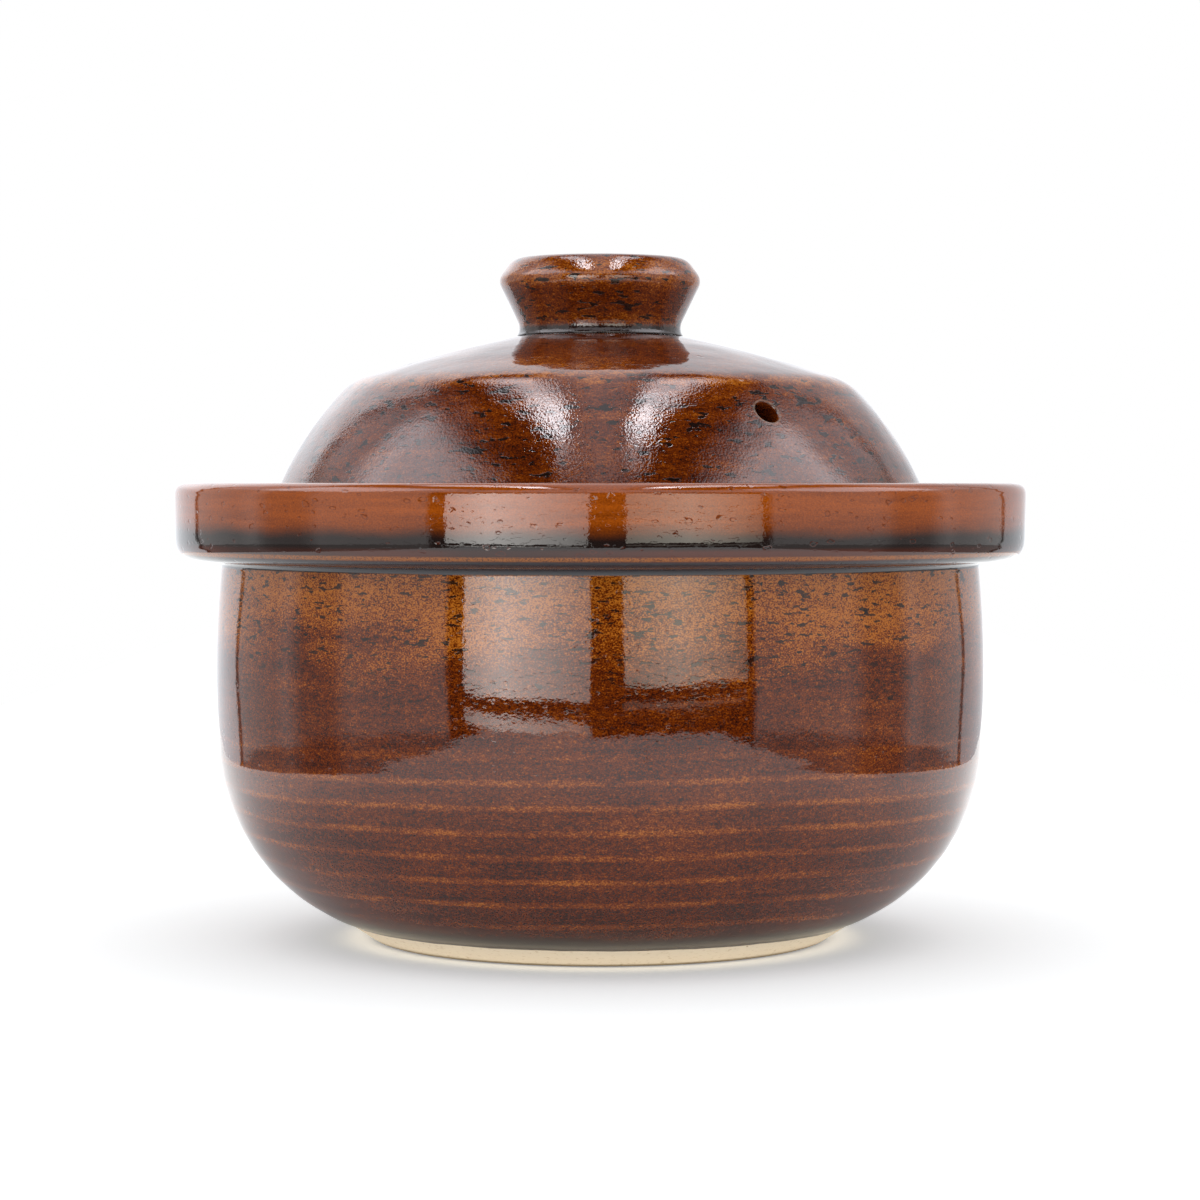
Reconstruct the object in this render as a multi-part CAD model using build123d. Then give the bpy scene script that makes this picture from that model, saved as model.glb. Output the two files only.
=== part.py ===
"""Donabe clay pot: a thrown bowl with a folded rim, and a domed lid with a ring knob and a steam hole.

Every piece is thrown on a wheel, so each is one half section, drawn as (radius, height) and turned about Z.
The origin is the centre of the foot on the table, +Z is up, and the steam hole faces -Y and a little +X.
Lengths are in millimetres.
"""

import os
from math import sqrt

from build123d import *

# Pot: heights are measured from the table
pot_height = 115.2
rim_overhang = 10.5
rim_face_height = 19.5
rim_taper = 0.5
rim_wall = 8.7
gallery_depth = 10.2
pot_wall = 9.0
floor_thickness = 8.5
belly_radius = 97.1
belly_height = 66.0
side_arc_radius = 300.0
turn_height = 48.5
inner_corner_radius = 43.0

# Foot: a bare ring of clay below the glaze line
foot_radius = 57.2
foot_ring_width = 9.0
foot_recess = 1.5
glaze_line_height = 4.8
glaze_line_radius = 64.5

# Lid: heights are measured from the gallery that it rests on
lid_clearance = 2.0
brim_width = 14.5
brim_thickness = 6.5
lid_wall = 6.5
dome_arc_radius = 82.0
shoulder_inset = 19.6
shoulder_rise = 35.7
crown_arc_radius = 323.0
crown_rise = 47.2

# Steam hole: drilled square to the dome's side
vent_radius = 3.5
vent_rise = 27.0
vent_turn = 34.0

# Knob: heights are measured from the crown that it is luted on
knob_neck_radius = 21.1
knob_neck_height = 2.4
knob_radius = 26.1
knob_widest_rise = 14.2
knob_height = 19.8
knob_top_radius = 22.0
knob_ring_width = 4.4
dish_depth = 11.5
dish_floor_radius = 13.0

# Corners rounded with a sponge
rim_top_rounding = 2.8
rim_under_rounding = 3.4
rim_inside_rounding = 2.4
neck_rounding = 1.0
mouth_rounding = 2.4
brim_rounding = 2.4
dome_foot_rounding = 2.5
shoulder_rounding = 10.0
inner_shoulder_rounding = 6.0
knob_neck_rounding = 4.0
knob_edge_rounding = 2.2
knob_top_rounding = 1.2
knob_lip_rounding = 1.6
dish_rounding = 6.0

# Edges bevelled with a turning tool
foot_bevel = 0.7
gallery_bevel = 1.2
brim_bevel = 1.5
lid_mouth_bevel = 1.5

# Cuts run past the clay by this much
overrun = 5.0

# Levels and radii that several pieces share
rim_underside = pot_height - rim_face_height
gallery_height = pot_height - gallery_depth
rim_radius = belly_radius + rim_overhang
gallery_radius = rim_radius - rim_wall
lid_radius = gallery_radius - lid_clearance
dome_foot_radius = lid_radius - brim_width
shoulder_radius = dome_foot_radius - shoulder_inset
crown_height = gallery_height + crown_rise


def side_point(height, inset=0):
    """A point on the belly's side at a height, set in from the outside of the wall."""
    reach = sqrt((side_arc_radius - inset) ** 2 - (height - belly_height) ** 2)
    return (belly_radius - side_arc_radius + reach, height)


def arc_to(start, end, radius):
    """The short arc from start to end that bulges away from the pot's axis."""
    return RadiusArc(start, end, -radius)


def rounded(section, corners):
    """The section with the corner nearest each place rounded to its radius."""
    for place, radius in corners:
        corner = section.vertices().sort_by_distance(place)[0]
        section = fillet(corner, radius)
    return section


def bevelled(section, corners):
    """The section with the corner nearest each place cut back by its bevel."""
    for place, length in corners:
        corner = section.vertices().sort_by_distance(place)[0]
        section = chamfer(corner, length)
    return section


def thrown(section):
    """The half section turned about the pot's axis."""
    return revolve(Plane.XZ * section, Axis.Z)


def pot_body():
    """The bowl: a bare foot ring, a round belly, and a folded rim with a step inside for the lid."""
    floor_height = foot_recess + floor_thickness
    neck = side_point(rim_underside)
    mouth = side_point(gallery_height, pot_wall)
    floor_corner = side_point(floor_height, pot_wall)
    glaze_line = (glaze_line_radius, glaze_line_height)
    rim_under = (rim_radius - rim_taper, rim_underside)
    rim_top = (rim_radius, pot_height)
    rim_inside = (gallery_radius, pot_height)
    gallery_corner = (gallery_radius, gallery_height)
    foot_edge = (foot_radius, 0)
    ring_edge = (foot_radius - foot_ring_width, 0)
    ring_root = (foot_radius - foot_ring_width, foot_recess)

    side = arc_to(side_point(turn_height), neck, side_arc_radius)
    bowl_turn = TangentArc(side @ 0, glaze_line, tangent=-(side % 0))
    inner_side = arc_to(floor_corner, mouth, side_arc_radius - pot_wall)
    outline = [
        Polyline((0, foot_recess), ring_root, ring_edge, foot_edge, glaze_line),
        bowl_turn,
        side,
        Polyline(neck, rim_under, rim_top, rim_inside, gallery_corner, mouth),
        inner_side,
        Polyline(floor_corner, (0, floor_height), (0, foot_recess)),
    ]
    section = rounded(
        make_face(outline),
        [
            (neck, neck_rounding),
            (rim_under, rim_under_rounding),
            (rim_top, rim_top_rounding),
            (rim_inside, rim_inside_rounding),
            (mouth, mouth_rounding),
            (floor_corner, inner_corner_radius),
        ],
    )
    bevels = [(gallery_corner, gallery_bevel), (foot_edge, foot_bevel), (ring_edge, foot_bevel)]
    return thrown(bevelled(section, bevels))


def dome_arcs():
    """The two arcs that meet at the shoulder: the dome's side, and the crown up to the knob."""
    foot = (dome_foot_radius, gallery_height + brim_thickness)
    shoulder = (shoulder_radius, gallery_height + shoulder_rise)
    side = arc_to(foot, shoulder, dome_arc_radius)
    crown = arc_to(shoulder, (knob_neck_radius, crown_height), crown_arc_radius)
    return side, crown


def dome_section(inset, bottom):
    """The half section of the dome above a bottom level, set in from its outside."""
    side, crown = dome_arcs()
    side_disc = Pos(side.arc_center) * Circle(dome_arc_radius - inset)
    crown_disc = Pos(crown.arc_center) * Circle(crown_arc_radius - inset)
    height = crown_height - inset - bottom
    column = Pos(0, bottom) * Rectangle(lid_radius, height, align=(Align.MIN, Align.MIN))
    return side_disc & crown_disc & column


def steam_hole():
    """The drill for the steam hole, square to the dome's side where it passes."""
    centre = dome_arcs()[0].arc_center
    rise = gallery_height + vent_rise - centre.Y
    reach = sqrt(dome_arc_radius**2 - rise**2)
    entry = Plane(origin=(centre.X + reach, 0, centre.Y + rise), z_dir=(reach, 0, rise))
    drill = entry * Cylinder(vent_radius, 2 * (lid_wall + overrun))
    return drill.rotate(Axis.Z, vent_turn - 90)


def lid_dome():
    """The lid: a flat brim that rests on the gallery, a full dome, and a shallow crown for the knob."""
    brim_top = gallery_height + brim_thickness
    brim = Pos(0, gallery_height) * Rectangle(lid_radius, brim_thickness, align=(Align.MIN, Align.MIN))
    outline = rounded(
        brim + dome_section(0, brim_top),
        [
            ((lid_radius, brim_top), brim_rounding),
            ((dome_foot_radius, brim_top), dome_foot_rounding),
            ((shoulder_radius, gallery_height + shoulder_rise), shoulder_rounding),
        ],
    )
    hollow = rounded(
        dome_section(lid_wall, gallery_height - overrun),
        [((shoulder_radius, gallery_height + shoulder_rise), inner_shoulder_rounding)],
    )
    bevels = [
        ((lid_radius, gallery_height), brim_bevel),
        ((dome_foot_radius - lid_wall, gallery_height), lid_mouth_bevel),
    ]
    return thrown(bevelled(outline - hollow, bevels)) - steam_hole()


def lid_knob():
    """The knob: a flared ring with a dished top, luted on the crown's flat."""
    neck_foot = (knob_neck_radius, crown_height)
    neck_top = (knob_neck_radius, crown_height + knob_neck_height)
    widest = (knob_radius, crown_height + knob_widest_rise)
    top_height = crown_height + knob_height
    top_edge = (knob_top_radius, top_height)
    lip = (knob_top_radius - knob_ring_width, top_height)
    dish_corner = (dish_floor_radius, top_height - dish_depth)
    corners = [neck_foot, neck_top, widest, top_edge, lip, dish_corner]
    outline = Polyline((0, crown_height), *corners, (0, top_height - dish_depth), close=True)
    section = rounded(
        make_face(outline),
        [
            (neck_top, knob_neck_rounding),
            (widest, knob_edge_rounding),
            (top_edge, knob_top_rounding),
            (lip, knob_lip_rounding),
            (dish_corner, dish_rounding),
        ],
    )
    return thrown(section)


pieces = {"pot_body": pot_body(), "lid_dome": lid_dome(), "lid_knob": lid_knob()}

os.makedirs("parts", exist_ok=True)
for name, piece in pieces.items():
    export_step(piece, f"parts/{name}.step")
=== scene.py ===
"""Looks of a glazed donabe clay pot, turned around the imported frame.

Lengths are in metres, in the frame's own place: +Z is up, and the camera looks along +Y.
"""

import math

import bpy
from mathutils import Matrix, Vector, noise


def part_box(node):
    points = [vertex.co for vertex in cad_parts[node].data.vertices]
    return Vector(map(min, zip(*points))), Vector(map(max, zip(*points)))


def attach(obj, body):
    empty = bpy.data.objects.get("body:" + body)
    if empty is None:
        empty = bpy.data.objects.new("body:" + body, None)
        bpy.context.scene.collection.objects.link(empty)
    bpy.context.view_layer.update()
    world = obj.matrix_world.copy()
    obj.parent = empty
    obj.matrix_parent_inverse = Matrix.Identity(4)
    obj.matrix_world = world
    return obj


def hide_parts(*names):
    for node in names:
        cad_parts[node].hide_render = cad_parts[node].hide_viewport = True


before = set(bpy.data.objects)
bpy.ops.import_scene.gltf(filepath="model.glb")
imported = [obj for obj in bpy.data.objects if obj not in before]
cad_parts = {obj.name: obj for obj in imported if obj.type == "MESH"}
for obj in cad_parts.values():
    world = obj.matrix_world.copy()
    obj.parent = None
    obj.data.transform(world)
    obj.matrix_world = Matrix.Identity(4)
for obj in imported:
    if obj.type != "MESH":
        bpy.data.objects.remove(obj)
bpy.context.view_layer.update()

MM = 0.001
TURN = 2 * math.pi

# Camera: its distance, height and tilt follow the ellipses of the foot, neck and rim
camera_distance = 841.6 * MM
camera_height = 114.8 * MM
camera_tilt = math.radians(2.0)
camera_lens = 99.36
camera_sensor = 36.0

# Sizes of the clay that the frame's boxes give
pot_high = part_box("pot_body")[1]
lid_low, lid_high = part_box("lid_dome")
knob_low, knob_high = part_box("lid_knob")
pot_height = pot_high[2]
rim_radius = pot_high[0]
gallery_height = lid_low[2]
lid_radius = lid_high[0]
crown_height = knob_low[2]
knob_top = knob_high[2]
knob_radius = knob_high[0]

# Sizes of the bowl
rim_face_height = 19.5 * MM
rim_taper = 0.5 * MM
rim_wall = 8.7 * MM
rim_underside = pot_height - rim_face_height
gallery_radius = rim_radius - rim_wall
belly_radius = rim_radius - 10.5 * MM
belly_height = 66.0 * MM
side_arc = 300.0 * MM
turn_height = 48.5 * MM
pot_wall = 9.0 * MM
floor_height = 10.0 * MM
foot_radius = 57.2 * MM
foot_ring = 9.0 * MM
foot_recess = 1.5 * MM
glaze_line = 4.8 * MM
glaze_line_radius = 64.5 * MM

# Sizes of the lid
brim_thickness = 6.5 * MM
lid_wall = 6.5 * MM
dome_foot_radius = lid_radius - 14.5 * MM
shoulder_radius = dome_foot_radius - 19.6 * MM
shoulder_height = gallery_height + 35.7 * MM
dome_arc = 82.0 * MM
crown_arc = 323.0 * MM
vent_radius = 3.5 * MM
vent_height = gallery_height + 27.0 * MM
vent_turn = math.radians(34.0 - 90.0)

# Sizes of the knob
knob_neck_radius = 21.1 * MM
knob_waist_radius = knob_neck_radius - 1.1 * MM
knob_waist = crown_height + 1.9 * MM
knob_widest = crown_height + 14.2 * MM
knob_widest_radius = knob_radius + 0.3 * MM
knob_top_radius = 22.0 * MM
knob_lip_radius = 17.6 * MM
dish_floor_radius = 13.0 * MM
dish_height = knob_top - 11.5 * MM

# How far the bowl's corners are eased, from the recess under the foot round to the inside floor
recess_easing = 0.4 * MM
ring_easing = 0.6 * MM
foot_easing = 0.8 * MM
glaze_line_easing = 0.4 * MM
neck_easing = 1.2 * MM
rim_under_easing = 5.0 * MM
rim_top_easing = 3.1 * MM
rim_inside_easing = 2.6 * MM
gallery_easing = 1.4 * MM
mouth_easing = 2.6 * MM
floor_easing = 36.0 * MM

# How far the lid's corners are eased, from the inside of the crown round to the knob's seat
inner_crown_easing = 2.0 * MM
inner_shoulder_easing = 3.0 * MM
lid_mouth_easing = 1.4 * MM
brim_under_easing = 1.4 * MM
brim_top_easing = 2.4 * MM
dome_foot_easing = 1.6 * MM
shoulder_easing = 3.0 * MM
seat_easing = 0.3 * MM

# How far the knob's corners are eased, from its waist up into the dish
waist_easing = 1.4 * MM
widest_easing = 2.0 * MM
knob_top_easing = 2.0 * MM
knob_lip_easing = 1.2 * MM
dish_easing = 3.6 * MM

# Unevenness that the hand leaves in the clay
inside_depth = 0.10 * MM
edge_depth = 0.03 * MM
belly_depth = 0.10 * MM
brim_depth = 0.04 * MM
dome_depth = 0.12 * MM
knob_depth = 0.06 * MM
turning_line_depth = 0.008 * MM
turning_line_pitch = 3.4 * MM

# Throwing rings on the lower belly, which fade out above it, and how they stray: (waves, phase, depth)
ring_pitch = 5.87 * MM
ring_depth = 0.032 * MM
ring_fade_low = 40 * MM
ring_fade_high = 54 * MM
ring_strength_above = 0.08
wander_waves = ((2, 0.9, 0.35 * MM), (3, 2.4, 0.25 * MM), (7, 0.2, 0.15 * MM), (11, 4.1, 0.10 * MM))

# How rough the glaze and the bare clay are
glaze_roughness = 0.03
clay_roughness = 0.8

# How finely the clay is cut into faces
grain = 1.1 * MM
rounding_steps = 7
pot_segments = 480
lid_segments = 480
knob_segments = 192


def place_camera():
    """The camera at the photograph's viewing angle."""
    camera = bpy.data.objects.new("camera", bpy.data.cameras.new("camera"))
    camera.data.lens = camera_lens
    camera.data.sensor_width = camera_sensor
    camera.location = (0, -camera_distance, camera_height)
    camera.rotation_euler = (math.pi / 2 - camera_tilt, 0, 0)
    bpy.context.collection.objects.link(camera)
    bpy.context.scene.camera = camera


def arc_centre(start, end, radius):
    """The centre of the short arc that runs anticlockwise from start to end."""
    middle = (start + end) / 2
    half = (end - start) / 2
    across = Vector((-half.y, half.x)).normalized()
    return middle + across * math.sqrt(radius**2 - half.length_squared)


def run(start, end, radius):
    """Evenly spaced points from start to end: a straight run, or an arc where a radius is given."""
    if not radius:
        count = max(2, round((end - start).length / grain))
        return [start.lerp(end, i / count) for i in range(count + 1)]
    anticlockwise = radius > 0
    centre = arc_centre(start, end, radius) if anticlockwise else arc_centre(end, start, -radius)
    first = math.atan2(start.y - centre.y, start.x - centre.x)
    last = math.atan2(end.y - centre.y, end.x - centre.x)
    sweep = (last - first + math.pi) % TURN - math.pi
    count = max(4, round(abs(sweep * radius) / grain))
    reach = abs(radius)
    angles = [first + sweep * i / count for i in range(count + 1)]
    return [centre + reach * Vector((math.cos(a), math.sin(a))) for a in angles]


def section(corners):
    """The half outline of a thrown piece; a corner is (radius, height, easing, arc to the next corner)."""
    places = [Vector(corner[:2]) for corner in corners]
    easings = [corner[2] for corner in corners]
    arcs = [corner[3] if len(corner) > 3 else 0 for corner in corners]
    points = []
    for i in range(len(corners) - 1):
        stretch = run(places[i], places[i + 1], arcs[i])
        kept = [p for p in stretch if (p - places[i]).length >= easings[i]]
        kept = [p for p in kept if (p - places[i + 1]).length >= easings[i + 1]]
        if points and easings[i]:
            before, after = points[-1], kept[0]
            for step in range(1, rounding_steps):
                t = step / rounding_steps
                points.append(before.lerp(places[i], t).lerp(places[i].lerp(after, t), t))
        elif points:
            points.pop()
        points += kept
    return points


def turned(name, points, segments, unevenness):
    """A half outline turned about the pot's axis, and moved outward by the unevenness."""
    vertices = [(0, 0, points[0].y)]
    inner = points[1:-1]
    for row, point in enumerate(inner, start=1):
        along = (points[row + 1] - points[row - 1]).normalized()
        outward = Vector((along.y, -along.x))
        for i in range(segments):
            angle = TURN * i / segments
            shift = unevenness(angle, point, outward)
            radius = point.x + outward.x * shift
            height = point.y + outward.y * shift
            vertices.append((radius * math.cos(angle), radius * math.sin(angle), height))
    vertices.append((0, 0, points[-1].y))
    last = len(vertices) - 1
    top_row = last - segments
    faces = []
    for i in range(segments):
        beside = (i + 1) % segments
        faces.append((0, 1 + beside, 1 + i))
        faces.append((last, top_row + i, top_row + beside))
    for row in range(len(inner) - 1):
        low, high = 1 + row * segments, 1 + (row + 1) * segments
        for i in range(segments):
            beside = (i + 1) % segments
            faces.append((low + i, low + beside, high + beside, high + i))
    mesh = bpy.data.meshes.new(name)
    mesh.from_pydata(vertices, [], faces)
    mesh.shade_smooth()
    piece = bpy.data.objects.new(name, mesh)
    bpy.context.collection.objects.link(piece)
    return piece


def wander(angle, sine=math.sin):
    """How far a throwing ring strays up and down around the pot, which is the same in clay and glaze."""
    return sum(depth * sine(angle * waves + phase) for waves, phase, depth in wander_waves)


def smooth_step(low, high, value):
    """0 below low, 1 above high, and an even slope between."""
    t = min(max((value - low) / (high - low), 0), 1)
    return t * t * (3 - 2 * t)


def side_reach(height, inset=0.0):
    """The radius of the belly's side at a height, set in from the outside of the wall."""
    return belly_radius - side_arc + math.sqrt((side_arc - inset) ** 2 - (height - belly_height) ** 2)


def slow_noise(angle, point, size, seed, upright=1.0):
    """Smooth noise over a turned surface, from -1 to 1; its features are taller where upright is low."""
    place = Vector((point.x * math.cos(angle), point.x * math.sin(angle), point.y * upright)) / size
    return noise.noise(place + Vector((seed, 0, 0)))


def pot_unevenness(angle, point, outward):
    """Throwing rings low on the belly, and the slow swells that a hand leaves in the wall."""
    height = point.y
    if outward.x < 0:
        return -inside_depth * (1 + slow_noise(angle, point, 26 * MM, 3.0))
    if height < glaze_line + MM or height > rim_underside - 2 * MM:
        ripple = slow_noise(angle, point, 9 * MM, 1.0) + slow_noise(angle, point, 30 * MM, 7.0)
        return edge_depth * (ripple - 2)
    outside = smooth_step(60 * MM, 66 * MM, point.x)
    low = 1 - smooth_step(ring_fade_low, ring_fade_high, height)
    strength = ring_strength_above + (1 - ring_strength_above) * low
    rings = math.cos(TURN * (height + wander(angle)) / ring_pitch)
    swell = slow_noise(angle, point, 24 * MM, 5.0, 0.35)
    dimple = slow_noise(angle, point, 11 * MM, 9.0, 0.7)
    return outside * (ring_depth * strength * rings + belly_depth * (swell + 0.2 * dimple))


def build_pot():
    """The bowl: underside, foot ring, belly, folded rim, gallery and inside, as one skin."""
    neck = side_reach(rim_underside)
    mouth = side_reach(gallery_height, pot_wall)
    inner_corner = side_reach(floor_height, pot_wall)
    turn_start = Vector((side_reach(turn_height), turn_height))
    line_corner = Vector((glaze_line_radius, glaze_line))
    belly_centre = Vector((belly_radius - side_arc, belly_height))
    to_centre = (belly_centre - turn_start).normalized()
    chord = line_corner - turn_start
    belly_turn = chord.length_squared / (2 * chord.dot(to_centre))
    corners = [
        (0, foot_recess, 0),
        (foot_radius - foot_ring, foot_recess, recess_easing),
        (foot_radius - foot_ring, 0, ring_easing),
        (foot_radius, 0, foot_easing),
        (glaze_line_radius, glaze_line, glaze_line_easing, belly_turn),
        (turn_start.x, turn_start.y, 0, side_arc),
        (neck, rim_underside, neck_easing),
        (rim_radius - rim_taper, rim_underside, rim_under_easing),
        (rim_radius, pot_height, rim_top_easing),
        (gallery_radius, pot_height, rim_inside_easing),
        (gallery_radius, gallery_height, gallery_easing),
        (mouth, gallery_height, mouth_easing, -(side_arc - pot_wall)),
        (inner_corner, floor_height, floor_easing),
        (0, floor_height, 0),
    ]
    piece = turned("pot_turned", section(corners), pot_segments, pot_unevenness)
    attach(piece, "pot")
    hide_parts("pot_body")
    return piece


def lid_unevenness(angle, point, outward):
    """Faint turning lines on the dome and slow swells all over, never past the lid's own size."""
    lines = math.cos(TURN * (point.y + 0.4 * wander(angle)) / turning_line_pitch)
    swell = slow_noise(angle, point, 22 * MM, 11.0) + 0.8 * slow_noise(angle, point, 8 * MM, 2.0)
    if outward.y < -0.5 or point.x > dome_foot_radius + MM:
        return brim_depth * (swell - 2)
    return turning_line_depth * lines + dome_depth * swell


def dome_centre():
    """The centre of the arc of the dome's side, as (radius, height)."""
    foot = Vector((dome_foot_radius, gallery_height + brim_thickness))
    return arc_centre(foot, Vector((shoulder_radius, shoulder_height)), dome_arc)


def vent_axis():
    """A point on the dome at the steam hole's middle, and the direction that the hole faces."""
    centre = dome_centre()
    rise = vent_height - centre.y
    reach = math.sqrt(dome_arc**2 - rise**2)
    cos, sin = math.cos(vent_turn), math.sin(vent_turn)
    place = Vector(((centre.x + reach) * cos, (centre.x + reach) * sin, vent_height))
    return place, Vector((reach * cos, reach * sin, rise)) / dome_arc


def circles_meet(first, first_radius, second, second_radius):
    """The outermost crossing of two circles, as (radius, height)."""
    apart = second - first
    distance = apart.length
    along = (first_radius**2 - second_radius**2 + distance**2) / (2 * distance)
    across = math.sqrt(first_radius**2 - along**2)
    unit = apart / distance
    aside = Vector((-unit.y, unit.x))
    crossings = [first + unit * along + aside * reach for reach in (across, -across)]
    return max(crossings, key=lambda crossing: crossing.x)


def build_lid():
    """The lid: the dome's inside, mouth, brim, dome, shoulder and crown, with the steam hole drilled."""
    brim_top = gallery_height + brim_thickness
    shoulder = Vector((shoulder_radius, shoulder_height))
    seat_edge = Vector((knob_neck_radius, crown_height))
    side_centre = dome_centre()
    crown_centre = arc_centre(shoulder, seat_edge, crown_arc)
    inner_side, inner_crown = dome_arc - lid_wall, crown_arc - lid_wall
    inner_shoulder = circles_meet(side_centre, inner_side, crown_centre, inner_crown)
    inside_top = crown_height - lid_wall
    inner_flat = crown_centre.x + math.sqrt(inner_crown**2 - (inside_top - crown_centre.y) ** 2)
    mouth = side_centre.x + math.sqrt(inner_side**2 - (gallery_height - side_centre.y) ** 2)
    corners = [
        (0, inside_top, 0),
        (inner_flat, inside_top, inner_crown_easing, -inner_crown),
        (inner_shoulder.x, inner_shoulder.y, inner_shoulder_easing, -inner_side),
        (mouth, gallery_height, lid_mouth_easing),
        (lid_radius, gallery_height, brim_under_easing),
        (lid_radius, brim_top, brim_top_easing),
        (dome_foot_radius, brim_top, dome_foot_easing, dome_arc),
        (shoulder_radius, shoulder_height, shoulder_easing, crown_arc),
        (seat_edge.x, seat_edge.y, seat_easing),
        (0, crown_height, 0),
    ]
    piece = turned("lid_turned", section(corners), lid_segments, lid_unevenness)
    drill_vent(piece)
    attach(piece, "lid")
    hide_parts("lid_dome")
    return piece


def drill_vent(piece):
    """The steam hole, cut with a drill that is glazed a little narrower and flares at the hole's lip."""
    place, outward = vent_axis()
    depth = lid_wall + 6 * MM
    profile = [
        Vector((0, -depth)),
        Vector((vent_radius + 0.5 * MM, -depth)),
        Vector((vent_radius + 0.5 * MM, -lid_wall - 0.4 * MM)),
        Vector((vent_radius, -lid_wall + 0.4 * MM)),
        Vector((vent_radius - 0.45 * MM, -2.4 * MM)),
        Vector((vent_radius - 0.50 * MM, -0.7 * MM)),
        Vector((vent_radius - 0.42 * MM, -0.4 * MM)),
        Vector((vent_radius - 0.15 * MM, -0.1 * MM)),
        Vector((vent_radius + 0.35 * MM, 0.1 * MM)),
        Vector((vent_radius + 0.9 * MM, 0.5 * MM)),
        Vector((vent_radius + 0.9 * MM, 4 * MM)),
        Vector((0, 4 * MM)),
    ]
    drill = turned("drill", profile, 72, lambda angle, point, away: 0.0)
    drill.rotation_mode = "QUATERNION"
    drill.rotation_quaternion = outward.to_track_quat("Z", "Y")
    drill.location = place
    cut = piece.modifiers.new("vent", "BOOLEAN")
    cut.object = drill
    cut.operation = "DIFFERENCE"
    cut.solver = "EXACT"
    bpy.context.view_layer.update()
    seen = bpy.context.evaluated_depsgraph_get()
    mesh = bpy.data.meshes.new_from_object(piece.evaluated_get(seen))
    piece.modifiers.clear()
    old, piece.data = piece.data, mesh
    mesh.name = "lid_turned"
    bpy.data.meshes.remove(old)
    mesh.set_sharp_from_angle(angle=math.radians(38))
    bpy.data.objects.remove(drill)


def knob_unevenness(angle, point, outward):
    """A knob is thrown small and quick, so it keeps a little swell, inside its own size."""
    swell = slow_noise(angle, point, 14 * MM, 21.0) + 0.4 * slow_noise(angle, point, 5 * MM, 8.0)
    return knob_depth * (swell - 1.4)


def build_knob():
    """The ring knob: a short neck, a flare, a bevelled edge, and a dish inside the ring."""
    corners = [
        (0, crown_height, 0),
        (knob_neck_radius, crown_height, 0),
        (knob_waist_radius, knob_waist, waist_easing),
        (knob_widest_radius, knob_widest, widest_easing),
        (knob_top_radius, knob_top, knob_top_easing),
        (knob_lip_radius, knob_top, knob_lip_easing),
        (dish_floor_radius, dish_height, dish_easing),
        (0, dish_height, 0),
    ]
    piece = turned("knob_turned", section(corners), knob_segments, knob_unevenness)
    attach(piece, "lid")
    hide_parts("lid_knob")
    return piece


class Wire:
    """A socket that can stand in a sum: arithmetic on it adds Math nodes to its tree."""

    def __init__(self, tree, socket):
        self.tree = tree
        self.socket = socket

    def math(self, operation, *others, clamp=False):
        """Math on this value and the others."""
        settings = {"operation": operation, "use_clamp": clamp}
        return self.tree.add("ShaderNodeMath", settings, dict(enumerate((self, *others))))

    def __add__(self, other):
        return self.math("ADD", other)

    def __sub__(self, other):
        return self.math("SUBTRACT", other)

    def __rsub__(self, other):
        return self.tree.add("ShaderNodeMath", {"operation": "SUBTRACT"}, {0: other, 1: self})

    def __mul__(self, other):
        return self.math("MULTIPLY", other)

    def __truediv__(self, other):
        return self.math("DIVIDE", other)

    __radd__ = __add__
    __rmul__ = __mul__

    def sine(self):
        """The sine of the value."""
        return self.math("SINE")

    def held(self):
        """The value, kept between 0 and 1."""
        return self.math("ADD", 0.0, clamp=True)

    def band(self, low, high):
        """0 below low, 1 above high, and a smooth slope between."""
        sockets = {"Value": self, "From Min": low, "From Max": high}
        return self.tree.add("ShaderNodeMapRange", {"interpolation_type": "SMOOTHSTEP"}, sockets)

    def near(self, middle, half):
        """1 around the middle, and 0 from half a width away."""
        return 1 - (self - middle).math("ABSOLUTE").band(half * 0.35, half)


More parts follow.
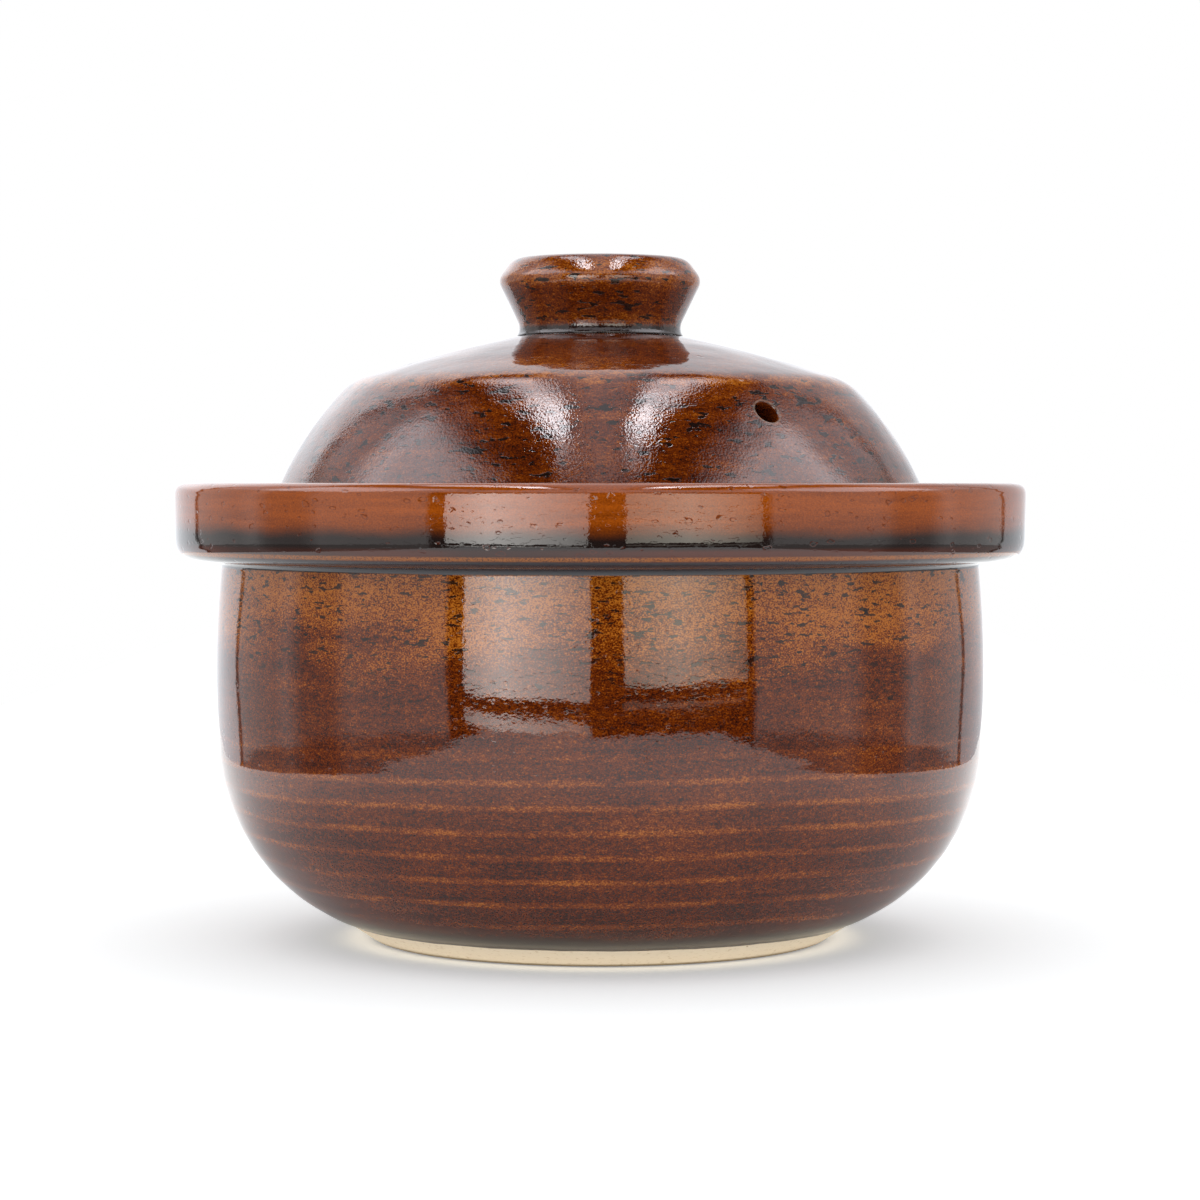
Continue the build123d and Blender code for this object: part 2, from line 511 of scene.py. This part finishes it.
class NodeTree:
    """A material's or the world's nodes, with one way to add a node of any type."""

    def __init__(self, owner):
        owner.use_nodes = True
        self.nodes = owner.node_tree.nodes
        self.links = owner.node_tree.links
        self.nodes.clear()

    def add(self, kind, settings=None, sockets=None, output=0):
        """A node of any type with its settings and sockets; its output is what comes back."""
        node = self.nodes.new(kind)
        for name, value in (settings or {}).items():
            if name == "stops":
                set_stops(node.color_ramp, value)
            else:
                setattr(node, name, value)
        for key, value in (sockets or {}).items():
            if isinstance(value, Wire):
                self.links.new(value.socket, node.inputs[key])
            else:
                node.inputs[key].default_value = value
        return Wire(self, node.outputs[output]) if node.outputs else None

    def place(self):
        """The place on the piece, in metres."""
        return self.add("ShaderNodeTexCoord", output="Object")

    def split(self, vector):
        """The X, Y and Z of a vector."""
        return [self.add("ShaderNodeSeparateXYZ", {}, {0: vector}, output=axis) for axis in "XYZ"]

    def vectors(self, operation, *values, output="Vector"):
        """Vector Math on one or two vectors."""
        return self.add("ShaderNodeVectorMath", {"operation": operation}, dict(enumerate(values)), output)

    def ray(self, kind):
        """1 for rays of one kind, such as Is Camera Ray, and 0 for the rest."""
        return self.add("ShaderNodeLightPath", output=kind)

    def noise(self, vector, size, detail=2.0, roughness=0.5):
        """Noise between 0 and 1 with features of about the given size."""
        sockets = {"Vector": vector, "Scale": 1 / size, "Detail": detail, "Roughness": roughness}
        return self.add("ShaderNodeTexNoise", {"noise_dimensions": "3D"}, sockets)

    def blend(self, share, first, second):
        """The first colour turned into the second by the share."""
        settings = {"data_type": "RGBA", "clamp_factor": True}
        return self.add("ShaderNodeMix", settings, {"Factor": share, 6: first, 7: second}, output=2)

    def ramp(self, value, stops):
        """A colour picked from a ramp of (position, colour) stops."""
        return self.add("ShaderNodeValToRGB", {"stops": stops}, {"Fac": value})


def set_stops(ramp, stops):
    """The stops of a colour ramp, as (position, colour) pairs."""
    while len(ramp.elements) < len(stops):
        ramp.elements.new(1.0)
    for element, (position, colour) in zip(ramp.elements, stops):
        element.position = position
        element.color = colour


# Glaze and clay colours, as linear light
bright_amber = (0.42, 0.128, 0.013, 1)
amber = (0.180, 0.034, 0.002, 1)
rim_amber = (0.38, 0.080, 0.005, 1)
red_brown = (0.084, 0.0125, 0.002, 1)
dark_brown = (0.020, 0.005, 0.003, 1)
iron_black = (0.006, 0.005, 0.005, 1)
pooled_black = (0.008, 0.007, 0.007, 1)
# Slate grey for the corner under the rim: pooled glaze, with painted shade and a painted grey reflection
pooled_glaze_painted_shade_and_reflection = (0.027, 0.027, 0.032, 1)
bare_clay = (0.96, 0.82, 0.62, 1)
tan_clay = (0.62, 0.45, 0.24, 1)
broken_glaze = (0.30, 0.21, 0.15, 1)

# How deep the marks in the glaze and in the bare clay are
dash_depth = 0.005 * MM
pock_depth = 0.013 * MM
blister_depth = 0.040 * MM
lid_spot_depth = 0.012 * MM
knob_spot_depth = 0.015 * MM
crater_depth = 0.25 * MM
clay_pit_depth = 0.25 * MM

# How deep the glaze's skin is puckered, broad and fine
pot_pucker = 0.012 * MM
pot_fine_pucker = 0.004 * MM
lid_pucker = 0.030 * MM
lid_fine_pucker = 0.037 * MM
knob_pucker = 0.040 * MM
knob_fine_pucker = 0.045 * MM


class Glaze(NodeTree):
    """Iron glaze over buff clay: amber where it is thin, dark where it is thick, with iron specks."""

    def __init__(self, name):
        self.material = bpy.data.materials.new(name)
        super().__init__(self.material)
        self.at = self.place()
        self.x, self.y, self.height = self.split(self.at)
        self.radius = (self.x * self.x + self.y * self.y).math("SQRT")
        self.angle = self.y.math("ARCTAN2", self.x)

    def stretched(self, flatten):
        """The place, squeezed so that noise on it runs longer around the pot than up it."""
        return self.vectors("MULTIPLY", self.at, (1, 1, flatten))

    def specks(self, spacing, flatten, share, largest, edge=0.11):
        """Ragged specks, 1 inside one.

        The share is of the cells that hold one; the largest radius and the soft edge are in cells.
        """
        ragged = {"Vector": self.at, "Scale": 1.6 / spacing}
        stray = self.add("ShaderNodeTexNoise", {}, ragged, output="Color")
        drift = self.vectors("MULTIPLY", stray, (0.5 * spacing,) * 3)
        moved = self.vectors("ADD", self.at, drift)
        cells = {"Vector": self.vectors("MULTIPLY", moved, (1, 1, flatten)), "Scale": 1 / spacing}
        away = self.add("ShaderNodeTexVoronoi", {}, cells, output="Distance")
        cell = self.add("ShaderNodeTexVoronoi", {}, cells, output="Color")
        draw = self.add("ShaderNodeSeparateColor", {}, {0: cell}, output="Red")
        radius = (draw - (1 - share)) * (largest / share)
        return (radius - away).band(0.0, edge)

    def dashes(self, size, flatten, cutoff):
        """Dark dashes of about the given length, in loose groups; a lower cutoff gives more of them."""
        strokes = self.noise(self.stretched(flatten), size, detail=2.0, roughness=0.5)
        groups = self.noise(self.stretched(1.6), 13 * MM, detail=1.0)
        return (strokes + (groups - 0.5) * 0.2).band(cutoff, cutoff + 0.05)

    def mottled(self, thinness, graininess):
        """Fine dark grains in amber; the glaze is lighter where it lies thinner."""
        grains = self.noise(self.stretched(1.4), 0.42 * MM, detail=2.0, roughness=0.6)
        clots = self.noise(self.stretched(2.4), 1.5 * MM, detail=3.0, roughness=0.55)
        light = thinness + (grains - 0.5) * graininess + (clots - 0.5) * 0.9
        stops = [(0.0, dark_brown), (0.30, red_brown), (0.62, amber), (1.0, bright_amber)]
        return self.ramp(light.held(), stops), grains

    def puckers(self, size, depth, fine_size, fine_depth):
        """The height of the glaze's skin: shallow dimples, with finer ones between them."""
        broad = self.noise(self.stretched(1.3), size, detail=2.0)
        fine = self.noise(self.at, fine_size, detail=1.0)
        return broad * depth + fine * fine_depth

    def finish(self, colour, bare, bump_height):
        """The glassy face of the glaze, and the dry face of bare clay."""
        bump = self.add("ShaderNodeBump", {}, {"Strength": 1.0, "Distance": 1.0, "Height": bump_height})
        sockets = {
            "Base Color": colour,
            "Roughness": glaze_roughness + bare * (clay_roughness - glaze_roughness),
            "IOR": 1.5,
            "Normal": bump,
        }
        shader = self.add("ShaderNodeBsdfPrincipled", {}, sockets)
        self.add("ShaderNodeOutputMaterial", {}, {"Surface": shader})
        return self.material


def pot_glaze():
    """The bowl's glaze from its rim down to the glaze line, and the bare foot."""
    g = Glaze("pot_glaze")
    colour, grains, dashes = belly_colours(g)
    pocks = g.specks(2.3 * MM, 1.5, 0.9, 0.29)
    colour = g.blend(pocks.near(0.5, 0.45) * 0.75, colour, red_brown)
    outside = g.radius.band(rim_radius - 9 * MM, rim_radius - 7 * MM)
    outside = outside * g.height.band(rim_underside - 1.0 * MM, rim_underside - 0.5 * MM)
    colour = rim_colours(g, colour, grains, outside)
    blisters = g.specks(3.5 * MM, 1.9, 0.9, 0.40, edge=0.18) * outside
    colour = g.blend(blisters.near(0.5, 0.45) * 0.55, colour, red_brown)
    colour = neck_colours(g, colour, outside)
    colour, bare, clay_pits = foot_colours(g, colour)
    skin = g.puckers(3.0 * MM, pot_pucker, 0.6 * MM, pot_fine_pucker)
    marks = dashes * dash_depth + pocks * pock_depth + blisters * blister_depth
    return g.finish(colour, bare, (skin - marks) * (1 - bare) - clay_pits * clay_pit_depth)


def belly_colours(g):
    """Amber above and red-brown below, lighter on the ring crests, with iron dashes, blots and dots."""
    slow = g.noise(g.stretched(2.4), 30 * MM, detail=2.0)
    streaks = g.noise(g.stretched(9.0), 24 * MM, detail=4.0, roughness=0.6)
    upper = (g.height + (slow - 0.5) * (34 * MM)).band(64 * MM, 91 * MM)
    lower = 1 - g.height.band(6 * MM, 42 * MM)
    thinness = 0.34 - lower * 0.12 + upper * 0.46 + (slow - 0.5) * 0.45
    thinness = thinness + (streaks - 0.5) * 0.6 + ring_crests(g) * 0.34
    colour, grains = g.mottled(thinness, 1.8 + upper * 1.7)
    dashes = g.dashes(3.3 * MM, 3.3, 0.60) * (0.2 + 0.8 * g.height.band(56 * MM, 80 * MM))
    dots = g.dashes(0.9 * MM, 1.2, 0.65)
    blots = g.specks(10 * MM, 2.4, 0.55, 0.15, edge=0.04) * g.height.band(44 * MM, 76 * MM)
    iron = (dashes * 0.88 + blots * 0.9 + dots * 0.6).held()
    return g.blend(iron, colour, iron_black), grains, dashes


def ring_crests(g):
    """1 on the crests of the throwing rings, where the glaze runs thin; they are broken along the way."""
    rings = ((g.height + wander(g.angle, Wire.sine)) * (TURN / ring_pitch) + math.pi / 2).sine()
    broken = g.noise(g.stretched(4.0), 14 * MM, detail=2.0).band(0.35, 0.62) * 0.5 + 0.5
    belly = g.height.band(6 * MM, 14 * MM) * (1 - g.height.band(44 * MM, 60 * MM))
    return rings.band(0.45, 1.0) * broken * belly


def rim_colours(g, colour, grains, outside):
    """The folded rim: a smoother amber face, a dark pooled band below it, and a thin orange lower edge."""
    brushed = g.noise(g.stretched(16.0), 26 * MM, detail=4.0)
    thin = g.height.band(rim_underside + 7 * MM, rim_underside + 14 * MM)
    light = 0.48 + thin * 0.23 + (grains - 0.5) * 0.9 + (brushed - 0.5) * 0.6
    face = g.ramp(light.held(), [(0.0, red_brown), (0.5, amber), (1.0, rim_amber)])
    colour = g.blend(outside, colour, face)
    ragged = (g.noise(g.at, 14 * MM, detail=2.0) - 0.5) * (2.6 * MM)
    band = 1 - (g.height + ragged).band(rim_underside + 6.4 * MM, rim_underside + 10.2 * MM)
    colour = g.blend(band * outside * 0.97, colour, pooled_black)
    under = 1 - g.height.band(rim_underside + 3.8 * MM, rim_underside + 5.0 * MM)
    under = under * outside * (0.3 + g.noise(g.at, 40 * MM, detail=1.0).band(0.35, 0.6) * 0.5)
    colour = g.blend(under, colour, red_brown)
    edge = g.height.near(rim_underside + 2.3 * MM, 0.7 * MM) * outside * grains.band(0.25, 0.6)
    return g.blend(edge * 0.6, colour, bright_amber)


def neck_colours(g, colour, outside):
    """Pooled glaze: black down the gallery and the neck; slate, with painted shade and reflection, under the
    rim.
    """
    above_belly = g.height.band(rim_underside - 1.7 * MM, rim_underside - 1.1 * MM)
    neck = above_belly * (1 - outside) * g.radius.band(80 * MM, 93 * MM)
    colour = g.blend(neck * 0.9, colour, pooled_black)
    # The corner under the rim, painted slate grey: pooled glaze with painted shade and a painted reflection
    corner = above_belly * g.radius.band(91 * MM, 93 * MM)
    corner = corner * (1 - g.height.band(rim_underside + 1.3 * MM, rim_underside + 2.0 * MM))
    return g.blend(corner * 0.95, colour, pooled_glaze_painted_shade_and_reflection)


def foot_colours(g, colour):
    """A dark fringe where the glaze stops, and cream clay below it, tan on its arris and in its pits."""
    line = g.height + (g.noise(g.at, 7 * MM, detail=2.0) - 0.5) * (0.5 * MM)
    fringe = line.near(glaze_line + 1.4 * MM, 3.2 * MM)
    colour = g.blend(fringe * 0.8, colour, pooled_black)
    bare = 1 - line.band(glaze_line - 0.1 * MM, glaze_line + 0.1 * MM)
    pits = g.specks(3.0 * MM, 1.0, 0.35, 0.16)
    tone = g.noise(g.stretched(2.0), 1.2 * MM, detail=3.0)
    clay = g.blend(tone.band(0.1, 0.45), tan_clay, bare_clay)
    arris = 1 - g.height.band(0.2 * MM, 1.0 * MM)
    clay = g.blend((arris * 0.8 + pits * 0.8).held(), clay, tan_clay)
    return g.blend(bare, colour, clay), bare, pits * bare


def lid_glaze():
    """The lid's glaze: redder, with larger iron spots, orange on the shoulder, and a bare seat."""
    g = Glaze("lid_glaze")
    slow = g.noise(g.stretched(2.6), 24 * MM, detail=2.0)
    streaks = g.noise(g.stretched(8.0), 22 * MM, detail=4.0, roughness=0.6)
    shoulder = g.height.near(shoulder_height - 0.9 * MM, 2.3 * MM)
    shoulder = shoulder * g.noise(g.at, 6 * MM, detail=2.0).band(0.3, 0.6)
    thinness = 0.41 + (slow - 0.5) * 0.55 + (streaks - 0.5) * 0.8 + shoulder * 0.34
    colour, grains = g.mottled(thinness, 1.5)
    spots = g.dashes(3.8 * MM, 2.9, 0.60)
    dots = g.dashes(0.9 * MM, 1.2, 0.67)
    below_crown = 1 - g.height.band(shoulder_height - 0.5 * MM, shoulder_height + 1.0 * MM)
    iron = (spots * 0.92 + dots * 0.6) * (0.15 + 0.85 * below_crown)
    colour = g.blend(iron.held(), colour, iron_black)
    colour = g.blend(vent_lip(g) * 0.3, colour, broken_glaze)
    bare = 1 - g.height.band(gallery_height + 1.0 * MM, gallery_height + 1.3 * MM)
    bare = bare * g.radius.band(lid_radius - 18 * MM, lid_radius - 17 * MM)
    colour = g.blend(bare, colour, g.blend(grains, tan_clay, bare_clay))
    craters = g.specks(9.0 * MM, 1.2, 0.3, 0.12)
    fine_pucker = (0.1 + 0.9 * below_crown) * lid_fine_pucker
    skin = g.puckers(2.2 * MM, lid_pucker, 0.55 * MM, fine_pucker)
    return g.finish(colour, bare, skin - craters * crater_depth - spots * lid_spot_depth)


def vent_lip(g):
    """1 on the lip of the steam hole, where the glaze has broken back."""
    place, outward = vent_axis()
    away = g.vectors("SUBTRACT", g.at, tuple(place))
    crossed = g.vectors("CROSS_PRODUCT", away, tuple(outward))
    from_axis = g.vectors("LENGTH", crossed, output="Value")
    depth = g.vectors("DOT_PRODUCT", away, tuple(outward), output="Value")
    facing = g.y.band(0.0, -10 * MM)
    return from_axis.near(vent_radius, 0.4 * MM) * facing * depth.band(-0.6 * MM, -0.2 * MM)


def knob_glaze():
    """The knob's glaze: dark amber with iron spots, lighter at its edge, and pooled dark at its neck."""
    g = Glaze("knob_glaze")
    slow = g.noise(g.stretched(2.2), 11 * MM, detail=2.0)
    edge = g.height.near(knob_widest + 1.0 * MM, 5.0 * MM)
    foot = g.height.near(crown_height + 3.6 * MM, 2.2 * MM)
    colour, grains = g.mottled(0.42 + (slow - 0.5) * 0.6 + edge * 0.26 + foot * 0.2, 1.7)
    spots = g.dashes(3.8 * MM, 3.2, 0.61)
    colour = g.blend(spots * 0.92, colour, iron_black)
    pool = 1 - g.height.band(crown_height + 1.6 * MM, crown_height + 2.8 * MM)
    colour = g.blend(pool * 0.9, colour, pooled_black)
    skin = g.puckers(2.2 * MM, knob_pucker, 0.55 * MM, knob_fine_pucker)
    return g.finish(colour, 0.0, skin - spots * knob_spot_depth)


# Colours of the light, the tabletop and what the glaze mirrors
cool_white = (1.0, 0.98, 0.94, 1)
warm_white = (1.0, 0.95, 0.82, 1)
backdrop_white = (0.95, 0.975, 1.02, 1)
ceiling_white = (0.99, 0.985, 1.04, 1)
table_white = (0.88, 0.905, 0.92, 1)
white = (1, 1, 1, 1)
black = (0, 0, 0, 1)

# Where the backdrop begins, in degrees round from the camera
backdrop_edge = 136

# Soft boxes: the plane that they stand in, and the middle of the left and the right one
box_plane = -0.62
left_middle = -0.2505
right_middle = 0.2895

# Glow of the tabletop: what the camera sees, and what the glaze mirrors, none of it close to the pot
table_glow = 0.25
mirrored_glow = 0.72
dim_table_radius = 80 * MM
open_table_radius = 260 * MM


def softbox(name, place, tilt, width, height, brightness):
    """A soft lamp that the camera doesn't see, tilted about X from facing down."""
    lamp = bpy.data.lights.new(name, "AREA")
    lamp.shape = "RECTANGLE"
    lamp.size, lamp.size_y = width, height
    lamp.energy = brightness * math.pi * width * height
    holder = bpy.data.objects.new(name, lamp)
    holder.location = place
    holder.rotation_euler = (tilt, 0, 0)
    holder.visible_camera = False
    bpy.context.collection.objects.link(holder)
    return holder


def light_studio():
    """The boxes beside the camera, each with a lip of light below, for the glaze to mirror, and a lit table.

    A box is (name, middle, height of the middle, width, height, brightness, brightest place, colour).
    """
    boxes = [
        ("left_box", left_middle, 0.1515, 0.445, 0.237, 6.3, 0.38, cool_white),
        ("left_lip", left_middle, -0.0017, 0.445, 0.0178, 4.6, 0.38, cool_white),
        ("right_box", right_middle, 0.1587, 0.453, 0.2227, 3.6, 0.39, warm_white),
        ("right_lip", right_middle, 0.0245, 0.453, 0.011, 0.9, 0.39, warm_white),
    ]
    for name, middle, level, width, height, brightness, brightest, colour in boxes:
        box = softbox(name, (middle, box_plane, level), math.pi / 2, width, height, brightness)
        box.visible_diffuse = False
        b = NodeTree(box.data)
        on_box = b.add("ShaderNodeNewGeometry", output="Parametric")
        share = b.split(on_box)[0]
        strength = 1.25 - (share - brightest).math("ABSOLUTE") * 1.3
        lit = b.add("ShaderNodeEmission", {}, {"Color": colour, "Strength": strength})
        b.add("ShaderNodeOutputLight", {}, {"Surface": lit})
    table = softbox("lit_table", (0, -0.05, 0.0008), math.pi, 0.6, 0.7, 0.27)
    table.visible_glossy = False


def tent_ceiling(turn, x, y, up):
    """The tent overhead: two bright strips that run back from the camera, a soft middle, and side banks."""
    height = up.math("MAXIMUM", 0.2)
    across = (x / height).math("ABSOLUTE")
    along = y / height
    lit = along.band(-0.95, -0.55) * 5.0 + along.band(-0.46, -0.40) * 15.0
    lit = lit - along.band(-0.25, 0.0) * 14.0
    rising = along.band(-0.3, 0.2)
    strip = across.near(0.215 + rising * 0.07, 0.065 + rising * 0.10)
    strip = strip * lit * (1 - along.band(0.2, 0.6))
    middle = (1 - across.band(0.06, 0.18)) * 1.5
    bank = across.band(0.55, 1.00) * (4.2 - turn.band(98, 116) * 2.9 + turn.near(101, 5) * 0.8)
    return (strip + middle + bank) * along.band(-1.0, -0.9) + (1 - along.band(-1.1, -0.95)) * 1.5


def light_world():
    """Surroundings: white to the camera, even to the clay, and a tent with a backdrop to the glaze.

    A turn is in degrees round from the camera, and x, y and up are the direction's own shares.
    """
    world = bpy.data.worlds.new("studio")
    bpy.context.scene.world = world
    w = NodeTree(world)
    x, y, up = w.split(w.add("ShaderNodeTexCoord", output="Generated"))
    turn = x.math("ARCTAN2", 0 - y).math("ABSOLUTE") * (180 / math.pi)
    from_edge = turn - backdrop_edge + up.band(0.5, 0.75) * 11 + (up * 45).sine()
    top = up.band(0.72, 0.80)
    behind = from_edge.band(0.2, 1.6) * (1 - top)
    seam = from_edge.near(-0.9, 1.9 + up.band(0.2, 0.5) * 1.4) * (0.8 - top * 0.8)
    to_left = (0 - x).band(0.05, 0.35) * up.band(0.1, 0.3)
    backdrop = (1.41 + to_left * 0.7) * (1 - x.band(-0.1, 0.5) * 0.34)
    panels = turn.band(44, 46) * 1.1 - turn.near(91, 14) * 0.65 - turn.band(103, 112) * 0.28
    panels = panels * (0.45 + up.band(-0.13, -0.12) * 0.55)
    ceiling = up.band(0.32, 0.46)
    ahead = panels * (1 - ceiling) + tent_ceiling(turn, x, y, up) * ceiling
    around = ahead * (1 - behind) * (1 - seam) + behind * backdrop
    camera_ray = w.ray("Is Camera Ray")
    mirrored = w.ray("Is Glossy Ray")
    even = 1.0 + up.band(0.0, 1.0) * 0.15
    strength = camera_ray + mirrored * around + (1 - camera_ray - mirrored) * even
    tint = w.blend(mirrored * behind, white, backdrop_white)
    tint = w.blend(mirrored * ceiling * (1 - behind), tint, ceiling_white)
    background = w.add("ShaderNodeBackground", {}, {"Color": tint, "Strength": strength})
    w.add("ShaderNodeOutputWorld", {}, {"Surface": background})


def lay_floor():
    """A plain white tabletop that keeps the pot's shadow."""
    side, front, back = 0.31, -0.53, 2.5
    corners = [(-side, front, 0), (side, front, 0), (side, back, 0), (-side, back, 0)]
    mesh = bpy.data.meshes.new("floor")
    mesh.from_pydata(corners, [], [(0, 1, 2, 3)])
    floor = bpy.data.objects.new("floor", mesh)
    bpy.context.collection.objects.link(floor)
    material = bpy.data.materials.new("floor")
    f = NodeTree(material)
    from_axis = f.vectors("LENGTH", f.place(), output="Value")
    open_table = from_axis.band(dim_table_radius, open_table_radius)
    glow = f.ray("Is Camera Ray") * table_glow + f.ray("Is Glossy Ray") * open_table * mirrored_glow
    sockets = {
        "Base Color": table_white,
        "Roughness": 0.9,
        "Specular IOR Level": 0.0,
        "Emission Color": f.blend(glow, black, white),
        "Emission Strength": 1.0,
    }
    shader = f.add("ShaderNodeBsdfPrincipled", {}, sockets)
    f.add("ShaderNodeOutputMaterial", {}, {"Surface": shader})
    mesh.materials.append(material)


place_camera()
bpy.context.scene.view_settings.view_transform = "Standard"
glazed_pieces = [(build_pot(), pot_glaze()), (build_lid(), lid_glaze()), (build_knob(), knob_glaze())]
for piece, glaze in glazed_pieces:
    piece.data.materials.clear()
    piece.data.materials.append(glaze)
light_studio()
light_world()
lay_floor()
